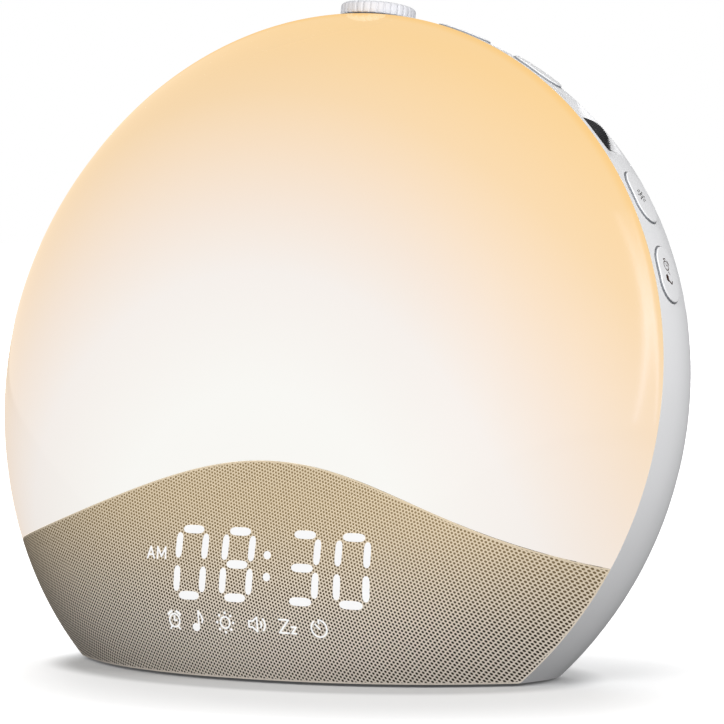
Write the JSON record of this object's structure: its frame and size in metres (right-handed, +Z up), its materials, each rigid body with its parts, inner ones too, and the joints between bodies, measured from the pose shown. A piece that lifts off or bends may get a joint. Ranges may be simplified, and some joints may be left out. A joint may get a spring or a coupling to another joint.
{
  "type": "sunrise alarm clock",
  "caption": "Round leaning wake-up lamp with a glowing domed diffuser, a wave-edged speaker grille with a lit clock display, rim buttons, a volume wheel and a top knob.",
  "frame": {"origin": "on the table, midway between the lamp's front and back and its two sides", "axes": "+X to the lamp's right as seen from its front, +Y towards its back, +Z up"},
  "size_m": [0.19, 0.0928, 0.1669],
  "materials": {
    "lens": "translucent milky diffuser, satin",
    "mesh": "taupe perforated skin, matte",
    "dark_plastic": "black moulded plastic, matte",
    "white_shell": "white moulded plastic, satin",
    "grey_knob": "pale grey plastic, satin",
    "white_inside": "white reflecting plastic, matte",
    "board": "green circuit board with solder mask",
    "chip": "black epoxy package",
    "led": "yellow phosphor over a white package",
    "light_pipe": "white glowing light pipe",
    "steel": "plain steel",
    "plated": "nickel plated",
    "magnet": "dark ferrite",
    "cone_paper": "black pressed paper",
    "foam": "black foam",
    "rubber": "black rubber, matte",
    "can": "aluminium can"
  },
  "bodies": {
    "lamp": {"front_lens": "lens", "speaker_grille": "mesh", "grille_frame": "dark_plastic", "light_baffle": "white_inside", "chassis": "dark_plastic", "reflector": "white_inside", "led_board": "board", "led_chips": "led", "display_bracket": "dark_plastic", "display_board": "board", "display_block": "dark_plastic", "display_segments": "light_pipe", "speaker_basket": "steel", "speaker_cone": "cone_paper", "speaker_magnet": "magnet", "speaker_gasket": "foam", "main_board": "board", "main_chips": "chip", "main_capacitors": "can", "board_screws": "steel", "rear_shell": "white_shell", "power_jack": "dark_plastic", "jack_pin": "plated", "knob_encoder": "steel", "encoder_nut": "plated", "volume_pot": "dark_plastic", "pot_board": "board", "tact_switches": "dark_plastic", "switch_boards": "board", "case_screws": "steel", "base_plate": "white_shell", "rubber_feet": "rubber", "base_screws": "steel", "battery_door": "white_shell", "battery_door_screw": "steel", "battery_holder": "dark_plastic", "battery_contact": "plated", "coin_cell": "plated"},
    "knob": {"top_knob": "grey_knob", "knob_shaft": "steel"},
    "wheel": {"volume_wheel": "dark_plastic", "wheel_shaft": "steel"},
    "snooze_key": {"snooze_button": "white_shell"},
    "set_key": {"set_button": "white_shell"},
    "light_key": {"light_button": "white_shell"},
    "sound_key": {"sound_button": "white_shell"}
  },
  "joints": [
    {"name": "knob_turn", "type": "hinge", "parent": "lamp", "child": "knob", "pos_m": [0, 0.02357, 0.16394], "axis": [0, 0.1884, 0.9821], "continuous": true},
    {"name": "wheel_turn", "type": "hinge", "parent": "lamp", "child": "wheel", "pos_m": [0.0614, 0.01484, 0.12903], "axis": [0, -0.9821, 0.1884], "range_deg": [-135, 135]},
    {"name": "snooze_press", "type": "slide", "parent": "lamp", "child": "snooze_key", "axis": [-0.279, -0.1809, -0.9431], "range_m": [0, 0.0006], "stiffness_N_per_m": 400, "springref_m": -0.0005},
    {"name": "set_press", "type": "slide", "parent": "lamp", "child": "set_key", "axis": [-0.5098, -0.1621, -0.8449], "range_m": [0, 0.0006], "stiffness_N_per_m": 400, "springref_m": -0.0005},
    {"name": "light_press", "type": "slide", "parent": "lamp", "child": "light_key", "axis": [-0.8471, -0.1001, -0.5219], "range_m": [0, 0.0006], "stiffness_N_per_m": 400, "springref_m": -0.0005},
    {"name": "sound_press", "type": "slide", "parent": "lamp", "child": "sound_key", "axis": [-0.9435, -0.0624, -0.3254], "range_m": [0, 0.0006], "stiffness_N_per_m": 400, "springref_m": -0.0005}
  ]
}
